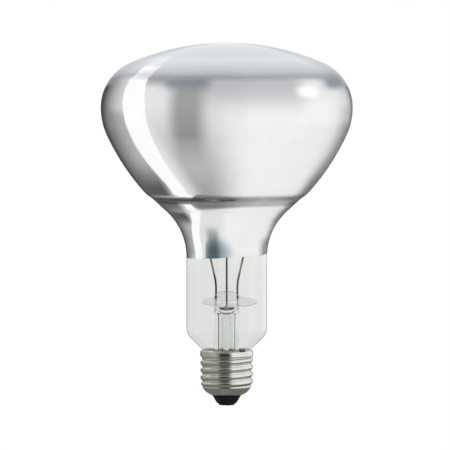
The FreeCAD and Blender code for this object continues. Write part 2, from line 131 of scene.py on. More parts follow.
def finish_piece(bm, name, slot, *replaced):
    """Makes the mesh a smooth piece that rides on the lamp and stands for its nodes."""
    for face in bm.faces:
        face.smooth = True
    for edge in bm.edges:
        edge.smooth = edge.calc_face_angle(0) < crease_angle
    piece = new_object(bm, name)
    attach(piece, "root")
    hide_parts(*replaced)
    print(name, "faces", len(piece.data.polygons))
    return piece


# %% [markdown]
# ## The blown bulb
# The bulb is one even wall of soft glass, from the seal hidden in the cap to the crown. Its
# outline is a row of arcs that meet at common tangents, with a shallow step in the side where the
# halves of the blowing mould met. Each arc keeps its centre when the line moves inwards through
# the wall, so one function draws both faces of the glass.

# %% Work out the arcs of the outline
bulb_low, bulb_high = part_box("glass_bulb")
bulb_r = bulb_high.x / mm
crown_top_z = bulb_high.z / mm
seal_z = bulb_low.z / mm
wall = 1.0
crown_radius, front_radius, back_radius = 120.0, 24.0, 33.0
side_radius, side_blend = 115.0, 25.0
mould_step, ridge_radius, hollow_radius, step_above_flare = 0.9, 16.0, 22.0, 6.0
flare_radius, neck_r, neck_length = 31.0, 20.0, 35.2
neck_corner_radius, neck_cone = 7.0, 45.0
seal_r, seal_corner_radius = 10.8, 2.0
seal_corner_z = 25.57

crown = in_section(0, crown_top_z - crown_radius)
crown_rise = math.sqrt((crown_radius - front_radius) ** 2 - (bulb_r - front_radius) ** 2)
crown_angle = math.degrees(math.atan2(crown_rise, bulb_r - front_radius))
widest_z = crown_top_z - crown_radius + crown_rise
front = in_section(bulb_r - front_radius, widest_z)
back = in_section(bulb_r - back_radius, widest_z)
blend = math.radians(side_blend)
side_r = bulb_r - back_radius - (side_radius - back_radius) * math.cos(blend)
side_z = widest_z + (side_radius - back_radius) * math.sin(blend)
side = in_section(side_r, side_z)
low_side_radius = side_radius - mould_step
flare_drop = math.sqrt((low_side_radius + flare_radius) ** 2 - (neck_r + flare_radius - side_r) ** 2)
flare_angle = math.degrees(math.atan2(flare_drop, neck_r + flare_radius - side_r))
flare_z = side_z - flare_drop
flare = in_section(neck_r + flare_radius, flare_z)
step_low = flare_angle - math.degrees(step_above_flare / low_side_radius)
ridge_reach, hollow_reach = side_radius - ridge_radius, low_side_radius + hollow_radius
step_cos = ridge_reach**2 + hollow_reach**2 - (ridge_radius + hollow_radius) ** 2
step_high = step_low - math.degrees(math.acos(step_cos / (2 * ridge_reach * hollow_reach)))
neck_corner = in_section(neck_r - neck_corner_radius, flare_z - neck_length)
seal_corner = in_section(seal_r + seal_corner_radius, seal_corner_z)


def on_arc(centre, radius, degrees):
    """Radius and height of a point of an arc, by its angle from straight out."""
    angle = math.radians(degrees)
    return centre.x / mm + radius * math.cos(angle), centre.z / mm + radius * math.sin(angle)


ridge = in_section(*on_arc(side, ridge_reach, -step_high))
hollow = in_section(*on_arc(side, hollow_reach, -step_low))
crossing = math.degrees(math.atan2(ridge.z - hollow.z, hollow.x - ridge.x))
print("widest ring at", round(widest_z, 2), "neck starts at", round(flare_z, 2))

# %% Model the bulb
bulb_turn_steps = 160


def body_line(bm, tip):
    """Carries a line on from the widest ring down to the straight neck."""
    tip = arc(bm, tip, back, side_blend, 16)
    tip = arc(bm, tip, side, step_high - side_blend, 30)
    tip = arc(bm, tip, ridge, crossing - step_high, 12)
    tip = arc(bm, tip, hollow, step_low - crossing, 12)
    tip = arc(bm, tip, side, flare_angle - step_low, 6)
    return arc(bm, tip, flare, -flare_angle, 36)


def wall_line(bm, inset):
    """One face of the glass, from the crown down to the seal."""
    tip = start_at(bm, 0, crown_top_z - inset)
    tip = arc(bm, tip, crown, 90 - crown_angle, 26)
    tip = arc(bm, tip, front, crown_angle, 44)
    tip = body_line(bm, tip)
    tip = run_to(bm, tip, neck_r - inset, neck_corner.z / mm)
    tip = arc(bm, tip, neck_corner, neck_cone, 10)
    seal_turn = 180 - neck_cone
    tip = run_to(bm, tip, *on_arc(seal_corner, seal_corner_radius + inset, seal_turn))
    tip = arc(bm, tip, seal_corner, -neck_cone, 6)
    return run_to(bm, tip, seal_r - inset, seal_z)


bm = bmesh.new()
outer_end = wall_line(bm, 0)
inner_end = wall_line(bm, wall)
bm.edges.new((outer_end, inner_end))
turn(bm, bulb_turn_steps)
close_up(bm)

satin_from_z = widest_z + 13.5
for face in bm.faces:
    centre = face.calc_center_median()
    faces_in = face.normal.xy.dot(centre.xy) < 0
    face.material_index = (1 if centre.z > satin_from_z * mm else 2) if faces_in else 0
bulb_envelope = finish_piece(bm, "bulb_envelope", "bulb_glass", "glass_bulb")

# %% [markdown]
# ## The mirror film
# Aluminium is boiled off a wire inside the open bulb and settles on the glass as a mirror. It
# stops in a slightly crooked line above the neck, so the film here is turned a little too long
# and then cut by a leaning plane. Slivers along the cut are merged away. A very thin gap keeps
# the film off the glass, and a solidify gives it a back, so that it is a closed sheet.

# %% Model the film
film_gap, film_thickness = 0.03, 0.12
film_edge_z, film_edge_slope = 74.3, 0.055
film_edge_wave, wave_scale, ripple_scale, ripple_share = 0.22, 120, 420, 0.5
film_spare, cut_merge = 4.0, 0.15
film_top_angle = 56.0
film_inset = wall + film_gap

bm = bmesh.new()
tip = start_at(bm, *on_arc(front, front_radius - film_inset, film_top_angle))
tip = arc(bm, tip, front, film_top_angle, 33)
tip = body_line(bm, tip)
tip = run_to(bm, tip, neck_r - film_inset, flare_z - film_spare)
turn(bm, bulb_turn_steps)
cut_normal = Vector((-film_edge_slope, 0, 1)).normalized()
bmesh.ops.bisect_plane(bm, geom=bm.verts[:] + bm.edges[:] + bm.faces[:], dist=merge_distance,
                       plane_co=in_section(0, film_edge_z), plane_no=cut_normal, clear_inner=True)
low_verts = [v for v in bm.verts if v.co.z < (film_edge_z + film_spare) * mm]
bmesh.ops.remove_doubles(bm, verts=low_verts, dist=cut_merge * mm)
for vert in bm.verts:
    if vert.is_boundary and vert.co.z < widest_z * mm:
        ripple = ripple_share * noise.noise(vert.co * ripple_scale)
        wave = noise.noise(vert.co * wave_scale) + ripple
        vert.co.z += film_edge_wave * mm * wave
close_up(bm)
face_out(bm)
bmesh.ops.solidify(bm, geom=bm.faces[:], thickness=film_thickness * mm)
mirror_film = finish_piece(bm, "mirror_film", "mirror_film", "reflector_coating")
film_x = [v.co.x / mm for v in mirror_film.data.vertices]
print("film width in mm", round(max(film_x) - min(film_x), 2))

# %% [markdown]
# ## The glass stem
# A glass tube opens like a trumpet below, where it is fused to the bulb. Its upper end is
# softened and pinched flat between two jaws round the wires. Here the tube is turned, its top
# ring is pulled up step by step, and each new ring is flattened as the jaws would do it.

# %% Work out the stem
stem_low, stem_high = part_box("glass_stem")
stem_rim_z, press_top_z = stem_low.z / mm, stem_high.z / mm
stem_r, stem_wall = 6.2, 1.2
press_height, press_blade = 12.0, 4.4
press_half = 2.5
press_lobe_drop, press_edge_drop = 0.8, 2.4
press_z = press_top_z - press_height
press_seat_z = press_top_z - press_blade
trumpet_r = seal_r - wall
curl = trumpet_r - stem_r
trumpet = in_section(trumpet_r, seal_z + curl)
jaw_pinch = stem_r - press_half
jaw_radius = (jaw_pinch**2 + (press_seat_z - press_z) ** 2) / (2 * jaw_pinch)
stem_turn_steps = 64
print("press from", round(press_z, 2), "to", round(press_top_z, 2))

# %% Helpers that pinch glass


def jaw_half(z):
    """Half the room between the jaws at a height."""
    below = max(0.0, press_seat_z - z)
    return press_half + jaw_radius - math.sqrt(jaw_radius**2 - below**2)


def press_top(x):
    """Height of the two-lobed top of the press."""
    share = min(1.0, abs(x) / stem_r)
    lobe = math.sin(math.pi * share)
    return press_top_z - press_lobe_drop * (1 - lobe) - (press_edge_drop - press_lobe_drop) * share**4


def pull_up(bm, ring, z, shrink=1.0):
    """Extrudes a ring of edges to a height, drawn in by a share, and returns the new ring."""
    made = bmesh.ops.extrude_edge_only(bm, edges=ring)["geom"]
    verts = [g for g in made if isinstance(g, bmesh.types.BMVert)]
    for vert in verts:
        vert.co.x *= shrink
        vert.co.y *= shrink
        vert.co.z = z * mm
    return [g for g in made if isinstance(g, bmesh.types.BMEdge)], verts


def draw_in(bm, ring, shares, height):
    """Draws a ring in by shares of its first size, at heights given by place and rise, and closes it."""
    for before, share in zip((1.0, *shares), shares):
        ring, verts = pull_up(bm, ring, 0.0, share / before)
        for vert in verts:
            vert.co.z = height(vert.co.x / mm, math.sqrt(1 - share**2)) * mm
    bmesh.ops.contextual_create(bm, geom=ring)


def ring_at(bm, r, z):
    """The edges of a turned ring that lie at a radius and a height."""
    def there(vert):
        off = Vector((vert.co.xy.length - r * mm, vert.co.z - z * mm))
        return max(abs(off.x), abs(off.y)) < merge_distance
    return [e for e in bm.edges if there(e.verts[0]) and there(e.verts[1])]


# %% Turn the tube
bm = bmesh.new()
tip = start_at(bm, stem_r - stem_wall, press_z)
tip = run_to(bm, tip, stem_r - stem_wall, trumpet.z / mm)
tip = arc(bm, tip, trumpet, -90, 10)
tip = run_through(bm, tip, (seal_r, stem_rim_z), (seal_r, seal_z), (trumpet_r, seal_z))
tip = arc(bm, tip, trumpet, 90, 10)
tip = run_to(bm, tip, stem_r, press_z)
turn(bm, stem_turn_steps)
bmesh.ops.remove_doubles(bm, verts=bm.verts[:], dist=merge_distance)

# %% Pinch the press and close the bore
press_rings = 16
edge_z = press_top_z - press_edge_drop
top_shrink, lobe_fill = (0.97, 0.9, 0.75, 0.5, 0.25), 1.25
ring = ring_at(bm, stem_r, press_z)
for step in range(1, press_rings + 1):
    z = press_z + (edge_z - press_z) * step / press_rings
    ring, verts = pull_up(bm, ring, z)
    for vert in verts:
        vert.co.y = math.copysign(min(abs(vert.co.y), jaw_half(z) * mm), vert.co.y)
draw_in(bm, ring, top_shrink,
        lambda x, rise: edge_z + (press_top(x) - edge_z) * min(1.0, lobe_fill * rise))

bore_rise, bore_crown, bore_shrink = 2.6, 0.9, (0.96, 0.85, 0.65, 0.4)
smooth_from_z, smooth_share = press_z + 0.5, 0.4
bore_r = stem_r - stem_wall
draw_in(bm, ring_at(bm, bore_r, press_z), bore_shrink,
        lambda x, rise: press_z + bore_rise * (x / bore_r) ** 2 + bore_crown * rise)
close_up(bm)
bmesh.ops.smooth_vert(bm, verts=[v for v in bm.verts if v.co.z > smooth_from_z * mm],
                      factor=smooth_share, use_axis_x=True, use_axis_y=True, use_axis_z=True)
stem_glass = finish_piece(bm, "stem_glass", "stem_glass", "glass_stem")

# %% [markdown]
# ## The mica disc
# A disc of mica keeps the hot air of the bulb off the press. It is punched with a slot that
# slips over the press, and sits a little askew on it. Two rings of vertices, the punched edge
# and the slot, are bridged and thickened, then tipped into place.

# %% Model the disc
disc_low, disc_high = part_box("heat_shield_disc")
disc_r, disc_thickness, disc_tilt = 13.7, 0.3, math.radians(7)
slot_clearance = 0.15
slot_r, slot_half = stem_r + slot_clearance, press_half + slot_clearance
disc_chip, chip_scale = 0.12, 600
disc_steps = 96

bm = bmesh.new()
punched = bmesh.ops.create_circle(bm, segments=disc_steps, radius=disc_r * mm)["verts"]
slot_ring = bmesh.ops.create_circle(bm, segments=disc_steps, radius=slot_r * mm)["verts"]
for vert in slot_ring:
    vert.co.y = math.copysign(min(abs(vert.co.y), slot_half * mm), vert.co.y)
for vert in punched:
    vert.co *= 1 + disc_chip / disc_r * noise.noise(vert.co * chip_scale)
disc_middle = (disc_low + disc_high) / 2
bmesh.ops.translate(bm, verts=punched, vec=(disc_middle.x, 0, 0))
bmesh.ops.bridge_loops(bm, edges=bm.edges[:])
close_up(bm)
if bm.faces[:][0].normal.z < 0:
    bmesh.ops.reverse_faces(bm, faces=bm.faces[:])
bmesh.ops.solidify(bm, geom=bm.faces[:], thickness=disc_thickness * mm)
middle_z = sum(v.co.z for v in bm.verts) / len(bm.verts)
place = Matrix.Translation((0, 0, disc_middle.z)) @ Matrix.Rotation(disc_tilt, 4, "X")
bmesh.ops.translate(bm, verts=bm.verts[:], vec=(0, 0, -middle_z))
bmesh.ops.transform(bm, matrix=place, verts=bm.verts[:])
mica_disc = finish_piece(bm, "mica_disc", "mica", "heat_shield_disc")

# %% [markdown]
# ## The filament
# Tungsten wire is wound on a thin rod into a long coil, which then hangs in a horseshoe from
# its clamps and hooks. A small ring spun with a step along the axis winds the straight coil.
# Each point is then carried round the horseshoe, as a hand would bend it.

# %% Wind and bend the filament
coil_low, coil_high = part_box("filament")
coil_z = (coil_low.z + coil_high.z) / 2
coil_r = (coil_high.z - coil_low.z) / 2
horseshoe_r = coil_high.x - coil_r
horseshoe_start, horseshoe_sweep = math.radians(-20), math.radians(220)
filament_wire_r = 0.13 * mm
filament_pitch = 0.5 * mm
steps_per_coil_turn = 12
coil_turns = round(horseshoe_r * horseshoe_sweep / filament_pitch)

bm = bmesh.new()
bmesh.ops.create_circle(bm, segments=6, radius=filament_wire_r, cap_ends=True)
bmesh.ops.rotate(bm, verts=bm.verts[:], matrix=Matrix.Rotation(math.pi / 2, 3, "X"))
bmesh.ops.translate(bm, verts=bm.verts[:], vec=(0, 0, coil_r - filament_wire_r))
bmesh.ops.spin(bm, geom=bm.verts[:] + bm.edges[:] + bm.faces[:], cent=(0, 0, 0), axis=(1, 0, 0),
               dvec=(filament_pitch / steps_per_coil_turn, 0, 0), angle=FULL_TURN * coil_turns,
               steps=steps_per_coil_turn * coil_turns)
for vert in bm.verts:
    angle = horseshoe_start + vert.co.x / horseshoe_r
    reach = horseshoe_r + vert.co.y
    vert.co = Vector((reach * math.cos(angle), reach * math.sin(angle), coil_z + vert.co.z))
close_up(bm)
filament_coil = finish_piece(bm, "filament_coil", "tungsten", "filament")

# %% [markdown]
# ## The threaded cap
# The cap is drawn from thin sheet, and its coarse round thread is rolled into it. The plain cap
# is turned first, with a fine grid on its side. Then each point of the side is pushed in or out
# by the thread's wave, which climbs one pitch for each turn round the axis.

# %% Work out the cap
shell_low, shell_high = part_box("screw_shell")
cap_top_z, cap_base_z = shell_high.z / mm, shell_low.z / mm
collar_r, collar_z = shell_high.x / mm, cap_top_z - 3.5
shell_wall, core_r = 0.35, 12.05
mouth_r, shoulder_round, shoulder_angle, base_bulge = 7.2, 1.5, 29.0, 7.5
thread_pitch, thread_r = 3.629, 13.05
thread_start = math.radians(105)
thread_run_in = 1.6
thread_run_out = 0.7
thread_depth = thread_r - core_r
crest_round = 1.45
root_round = (thread_pitch**2 / 4 + thread_depth**2) / (2 * thread_depth) - crest_round
crest_share = crest_round / (crest_round + root_round)
collar_foot, collar_turn_in, collar_lip = 0.8, 1.3, 0.25
collar_turn_in_angle = 76.0
collar_step = 0.15
base_line_z, base_line_depth, base_line_half = 8.05, 0.12, 0.2
side_rows, shell_turn_steps = 150, 144
bulge_r = core_r - shoulder_round - (base_bulge - shoulder_round) * math.cos(math.radians(shoulder_angle))
bulge_z = cap_base_z + math.sqrt(base_bulge**2 - (mouth_r - bulge_r) ** 2)
bulge = in_section(bulge_r, bulge_z)
mouth_angle = math.degrees(math.acos((mouth_r - bulge_r) / base_bulge))
thread_low_z = bulge_z - (base_bulge - shoulder_round) * math.sin(math.radians(shoulder_angle))
shoulder = in_section(core_r - shoulder_round, thread_low_z)
print("thread from", round(thread_low_z, 2), "to", round(collar_z, 2))

# %% Shape of the rolled thread


def rolled_radius(angle, z):
    """Radius of the rolled side at an angle and a height: a crest arc, then a root arc."""
    turns = (z - thread_low_z) / thread_pitch - (angle - thread_start) / FULL_TURN
    from_crest = abs(turns - round(turns)) * thread_pitch
    from_root = thread_pitch / 2 - from_crest
    if from_crest < crest_share * thread_pitch / 2:
        wave = thread_r - crest_round + math.sqrt(crest_round**2 - from_crest**2)
    else:
        wave = core_r + root_round - math.sqrt(root_round**2 - from_root**2)
    run_in = min(1.0, (z - thread_low_z) / thread_run_in)
    run_out = min(1.0, (collar_z - z) / thread_run_out)
    return core_r + max(0.0, wave - core_r) * run_in**2 * (3 - 2 * run_in) * run_out


# %% Turn the plain cap
bm = bmesh.new()
tip = start_at(bm, mouth_r, cap_base_z)
tip = arc(bm, tip, bulge, shoulder_angle - mouth_angle, 40)
tip = arc(bm, tip, shoulder, -shoulder_angle, 6)
side_top_z = collar_z - collar_step
for row in range(1, side_rows + 1):
    tip = run_to(bm, tip, core_r, thread_low_z + (side_top_z - thread_low_z) * row / side_rows)
tip = run_to(bm, tip, core_r + shell_wall, collar_z)
tip = run_to(bm, tip, collar_r - collar_foot, collar_z)
tip = arc(bm, tip, in_section(collar_r - collar_foot, collar_z + collar_foot), -90, 8)
lip_angle = 90 - collar_turn_in_angle
turn_in_rise = math.sin(math.radians(collar_turn_in_angle))
collar_bend_z = cap_top_z - collar_lip - (collar_turn_in - collar_lip) * turn_in_rise
turn_in = in_section(collar_r - collar_turn_in, collar_bend_z)
tip = run_to(bm, tip, collar_r, collar_bend_z)
tip = arc(bm, tip, turn_in, -collar_turn_in_angle, 8)
lip = in_section(*on_arc(turn_in, collar_turn_in - collar_lip, collar_turn_in_angle))
arc(bm, tip, lip, -lip_angle, 5)
turn(bm, shell_turn_steps)
close_up(bm)
face_out(bm)

# %% Roll the thread
for vert in bm.verts:
    z = vert.co.z / mm
    reach = vert.co.xy.length / mm
    if thread_low_z < z < collar_z - collar_step / 2:
        reach = rolled_radius(math.atan2(vert.co.y, vert.co.x), z)
    elif z <= thread_low_z:
        reach -= base_line_depth * math.exp(-(((z - base_line_z) / base_line_half) ** 2))
    vert.co.xy *= reach * mm / vert.co.xy.length
threaded_shell = finish_piece(bm, "threaded_shell", "cap_metal", "screw_shell")
sheet = threaded_shell.modifiers.new("sheet", "SOLIDIFY")
sheet.thickness = shell_wall * mm
sheet.offset = -1

# %% [markdown]
# ## The foot of the cap
# Black glass is poured into the mouth of the cap and carries the contact, a small turned button.
# Both are turned here from short sections, and a bevel takes the hard edge off each ring, as
# flowing glass and a stamping tool would leave it.

# %% Model the insulator and the contact
glass_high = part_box("cap_insulator")[1]
contact_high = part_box("contact_plate")[1]
flange_r = glass_high.x / mm
insulator_top_z = glass_high.z / mm
contact_r, contact_top_z = contact_high.x / mm, contact_high.z / mm
lead_bore_r, cone_foot, seat_gap, seat_lap, flange_rise = 0.9, 0.75, 0.02, 0.05, 0.35
contact_round, dimple_reach, dimple_depth = 0.7, 1.1, 0.06
cone_bevel, contact_bevel = 0.16, 0.12
foot_turn_steps = 72


def soften(bm, offset):
    """Rounds every edge between faces that meet at more than the crease angle."""
    sharp = [e for e in bm.edges if e.calc_face_angle(0) > crease_angle]
    bmesh.ops.bevel(bm, geom=sharp, offset=offset * mm, offset_type="OFFSET", affect="EDGES",
                    segments=3, profile=0.5, material=-1, clamp_overlap=True)


bm = bmesh.new()
tip = start_at(bm, lead_bore_r, contact_top_z)
run_through(bm, tip, (contact_r + cone_foot, contact_top_z), (mouth_r + seat_lap, cap_base_z - seat_gap),
            (mouth_r - seat_gap, cap_base_z - seat_gap),
            (mouth_r - seat_gap, cap_base_z + shell_wall + seat_lap),
            (flange_r, cap_base_z + shell_wall + flange_rise), (flange_r, insulator_top_z),
            (lead_bore_r, insulator_top_z), (lead_bore_r, contact_top_z))
turn(bm, foot_turn_steps)
close_up(bm)
soften(bm, cone_bevel)
insulator_cone = finish_piece(bm, "insulator_cone", "black_glass", "cap_insulator")

bm = bmesh.new()
tip = start_at(bm, lead_bore_r, contact_top_z)
tip = run_through(bm, tip, (contact_r, contact_top_z), (contact_r, contact_round))
tip = arc(bm, tip, in_section(contact_r - contact_round, contact_round), 90, 6)
run_through(bm, tip, (lead_bore_r + dimple_reach, 0.0), (lead_bore_r, dimple_depth),
            (lead_bore_r, contact_top_z))
turn(bm, foot_turn_steps)
close_up(bm)
soften(bm, contact_bevel)
contact_button = finish_piece(bm, "contact_button", "contact_brass", "contact_plate")

# %% [markdown]
# ## The solder on the rim
# The side lead ends on the cap's upper rim under a lump of solder. A ball is drawn out along the
# rim, cut flat where it lies on the metal, and roughened a little, as solder sets.

# %% Model the rim solder
solder_azimuth = math.radians(-51)
solder_half = Vector((0.75, 1.7, 1.15)) * mm
solder_inset, solder_sink = 0.75, 0.1
solder_lump, solder_grain = 0.16, 0.05
solder_reach = (collar_r - solder_inset) * mm

bm = bmesh.new()
bmesh.ops.create_icosphere(bm, subdivisions=5, radius=1)
for vert in bm.verts:
    lumps = solder_lump * noise.noise(vert.co * 1.7)
    vert.co *= 1 + lumps + solder_grain * noise.noise(vert.co * 5)
bmesh.ops.scale(bm, verts=bm.verts[:], vec=solder_half)
bmesh.ops.rotate(bm, verts=bm.verts[:], matrix=Matrix.Rotation(solder_azimuth, 3, "Z"))
bmesh.ops.translate(bm, verts=bm.verts[:], vec=(solder_reach * math.cos(solder_azimuth),
                                                solder_reach * math.sin(solder_azimuth),
                                                cap_top_z * mm))
cut = bmesh.ops.bisect_plane(bm, geom=bm.verts[:] + bm.edges[:] + bm.faces[:], dist=merge_distance,
                             plane_co=in_section(0, cap_top_z - solder_sink), plane_no=LAMP_AXIS,
                             clear_inner=True)
rim_edges = [g for g in cut["geom_cut"] if isinstance(g, bmesh.types.BMEdge)]
bmesh.ops.contextual_create(bm, geom=rim_edges)
close_up(bm)
rim_solder_bead = finish_piece(bm, "rim_solder_bead", "solder", "rim_solder")

# %% [markdown]
# ## Materials: shared effects
# Two effects come back in many finishes. Blown glass is never quite even: faint cords run along
# it. Handled metal has smudges and fine marks. Each is a node group, built once, that puts out
# values for a material to use.

# %% Helpers that build shader nodes


def add_node(tree, kind, values=None, **settings):
    """A node with its settings and input values."""
    made = tree.nodes.new(kind)
    for key, value in settings.items():
        setattr(made, key, value)
    for key, value in (values or {}).items():
        made.inputs[key].default_value = value
    return made


def feed(node, **outputs):
    """Links other nodes' outputs to a node's inputs, by the inputs' names."""
    for key, output in outputs.items():
        node.id_data.links.new(output, node.inputs[key.replace("_", " ")])


def new_group(name, inputs, outputs):
    """A shader node group with number or vector inputs and named outputs, and its two end nodes."""
    tree = bpy.data.node_groups.new(name, "ShaderNodeTree")
    for key, value in inputs.items():
        kind = "NodeSocketVector" if isinstance(value, tuple) else "NodeSocketFloat"
        socket = tree.interface.new_socket(key, in_out="INPUT", socket_type=kind)
        socket.default_value = value
    for key in outputs:
        tree.interface.new_socket(key, in_out="OUTPUT", socket_type="NodeSocketFloat")
    return tree, add_node(tree, "NodeGroupInput"), add_node(tree, "NodeGroupOutput")


def place_group(tree, group, **values):
    return add_node(tree, "ShaderNodeGroup", values, node_tree=group)


def new_material(name, **constants):
    """A material with a Principled shader, its node tree and that shader."""
    material = bpy.data.materials.new(name)
    material.use_nodes = True
    tree = material.node_tree
    shader = tree.nodes["Principled BSDF"]
    for key, value in constants.items():
        shader.inputs[key.replace("_", " ")].default_value = value
    return material, tree, shader


def colour_ramp(factor, *stops):
    """A colour ramp with stops of position and colour."""
    made = factor.id_data.nodes.new("ShaderNodeValToRGB")
    elements = made.color_ramp.elements
    while len(elements) < len(stops):
        elements.new(0.5)
    for element, (position, colour) in zip(elements, stops):
        element.position = position
        element.color = (*colour, 1)
    feed(made, Fac=factor)
    return made.outputs["Color"]


def value_range(value, low, high, to_low, to_high, smooth=False):
    """Takes a value from one range to another, clamped."""
    made = add_node(value.id_data, "ShaderNodeMapRange",
                    {"From Min": low, "From Max": high, "To Min": to_low, "To Max": to_high},
                    interpolation_type="SMOOTHSTEP" if smooth else "LINEAR")
    feed(made, Value=value)
    return made.outputs["Result"]


def connect(value, socket):
    """Links an output to a socket, or sets the socket to a number or a colour."""
    if isinstance(value, (int, float)):
        socket.default_value = value
    elif isinstance(value, tuple):
        socket.default_value = (*value, 1)
    else:
        socket.id_data.links.new(value, socket)


def math_node(operation, *values):
    """One step of arithmetic, in the tree of its first output. A value is a number or an output."""
    tree = next(v.id_data for v in values if isinstance(v, bpy.types.NodeSocket))
    made = add_node(tree, "ShaderNodeMath", operation=operation)
    for socket, value in zip(made.inputs, values):
        connect(value, socket)
    return made.outputs["Value"]


def combine(operation, *values):
    """The same step of arithmetic over several values, from left to right."""
    return reduce(lambda total, value: math_node(operation, total, value), values)


def object_noise(tree, scale, detail=3.0, stretch=(1, 1, 1), roughness=0.5):
    """Noise on Object coordinates, stretched along the axes."""
    place = tree.nodes.new("ShaderNodeTexCoord")
    mapping = add_node(tree, "ShaderNodeMapping", {"Scale": stretch})
    texture = add_node(tree, "ShaderNodeTexNoise", {"Detail": detail, "Roughness": roughness})
    connect(scale, texture.inputs["Scale"])
    feed(mapping, Vector=place.outputs["Object"])
    feed(texture, Vector=mapping.outputs["Vector"])
    return texture.outputs["Fac"]


def object_place(tree, axis):
    """Distance along an axis of the lamp, in metres. Z is the height above the contact."""
    place = tree.nodes.new("ShaderNodeTexCoord")
    apart = tree.nodes.new("ShaderNodeSeparateXYZ")
    feed(apart, Vector=place.outputs["Object"])
    return apart.outputs[axis]


def along(tree, axis, low, high, to_low, to_high, smooth=True):
    """A value that changes between two places on an axis of the lamp, given in millimetres."""
    return value_range(object_place(tree, axis), low * mm, high * mm, to_low, to_high, smooth)


def lay_over(under, mask, colour):
    """Lays a colour over another one by a mask."""
    made = add_node(mask.id_data, "ShaderNodeMix", data_type="RGBA")
    for key, value in (("Factor", mask), ("A", under), ("B", colour)):
        connect(value, made.inputs[key])
    return made.outputs["Result"]


def bump(shader, height, strength, distance):
    made = add_node(shader.id_data, "ShaderNodeBump", {"Strength": strength, "Distance": distance})
    feed(made, Height=height)
    feed(shader, Normal=made.outputs["Normal"])


# %% Build the shared effects
glass_flow, flow_in, flow_out = new_group("glass_flow", {"Scale": 30.0}, ["Height", "Cords"])
feed(flow_out, Height=object_noise(glass_flow, flow_in.outputs["Scale"], 1.5, (1, 1, 0.35), 0.4),
     Cords=object_noise(glass_flow, 240.0, 2.0, (1, 1, 0.06)))

handled_metal, marks_in, marks_out = new_group("handled_metal", {"Scale": 300.0, "Smudge": 0.5},
                                               ["Smudges", "Marks"])
smudges = object_noise(handled_metal, 140.0, 4.0)
feed(marks_out, Smudges=math_node("MULTIPLY", smudges, marks_in.outputs["Smudge"]),
     Marks=object_noise(handled_metal, marks_in.outputs["Scale"], 4.0, (1, 1, 9), 0.65))
print("shared effects", [g.name for g in bpy.data.node_groups])

# %% [markdown]
# ## Materials: clear glass
# The bulb's glass is clear and faintly green. The film is grown onto it, so behind the film the
# glass has no inner face for light to meet, and that face is fully see-through there. Below the
# film's leaning edge, and round the back, it is a face of glass again.

# %% Make the clear glasses
glass_ior = 1.5
bulb_tints = (0.925, 0.933, 0.925), (0.942, 0.948, 0.94)
neck_tint = (0.872, 0.88, 0.868)
lining_fade = 0.2 * mm


def clear_glass(name, thick, thin, flow_scale, wave):
    """Clear glass between two faint tints, with the unevenness of hot working."""
    material, tree, shader = new_material(name, IOR=glass_ior, Transmission_Weight=1.0)
    flow = place_group(tree, glass_flow, Scale=flow_scale)
    feed(shader, Base_Color=colour_ramp(flow.outputs["Cords"], (0.3, thick), (0.7, thin)),
         Roughness=value_range(flow.outputs["Cords"], 0.35, 0.75, 0.0, 0.012))
    bump(shader, flow.outputs["Height"], wave, 1.0 * mm)
    return material, tree, shader


def envelope_glass(name):
    """The bulb's glass. Its tint deepens down the neck, where the wall gathers more glass."""
    material, tree, shader = clear_glass(name, *bulb_tints, 30.0, 0.05)
    tint = shader.inputs["Base Color"].links[0].from_socket
    in_neck = along(tree, "Z", 62, 95, 1.0, 0.0)
    feed(shader, Base_Color=lay_over(tint, in_neck, neck_tint))
    return material, tree, shader


bulb_glass = envelope_glass("bulb_glass")[0]
lining_glass, tree, shader = envelope_glass("lining_glass")
edge_rise = math_node("MULTIPLY", object_place(tree, "X"), film_edge_slope)
over_edge = combine("SUBTRACT", object_place(tree, "Z"), edge_rise, film_edge_z * mm)
bare_lining = value_range(over_edge, -lining_fade, lining_fade, 1.0, 0.0)
back_lining = along(tree, "Y", 2, 34, 0.0, 1.0)
feed(shader, Alpha=math_node("MAXIMUM", bare_lining, back_lining))
stem_tint = clear_glass("stem_glass", (0.955, 0.965, 0.955), (0.975, 0.98, 0.975), 160.0, 0.12)[0]

# %% [markdown]
# ## Materials: the satin dome
# The front is etched on its inner face only, so the outer face stays bright. The etching scatters
# light as a white powder would, and it fades out over the film's upper edge. Its grey-blue tone is
# painted shade, greyest low on the dome and lightest in a band above that.

# %% Make the satin
satin_full_z, dome_shade_low_z, dome_shade_high_z = 166.5, 163.0, 174.0
satin_glass, tree, shader = new_material("satin_glass", IOR=glass_ior, Specular_IOR_Level=0.0)
grain = object_noise(tree, 900.0)
# Painted shade: the satin's tone follows height, greyest low on the dome and lightest higher up.
dome_shade = math_node("ADD", along(tree, "Z", dome_shade_low_z, dome_shade_high_z, 0.0, 1.0, smooth=False),
                 value_range(grain, 0.3, 0.7, -0.02, 0.02))
feed(shader, Base_Color=colour_ramp(dome_shade, (0.0, (0.785, 0.805, 0.83)), (0.3, (0.765, 0.785, 0.81)),
                                    (0.55, (0.81, 0.83, 0.855)), (0.8, (0.885, 0.905, 0.925)),
                                    (1.0, (0.82, 0.84, 0.86))),
     Roughness=value_range(grain, 0.3, 0.7, 0.42, 0.52),
     Alpha=along(tree, "Z", satin_from_z, satin_full_z, 0.0, 1.0))
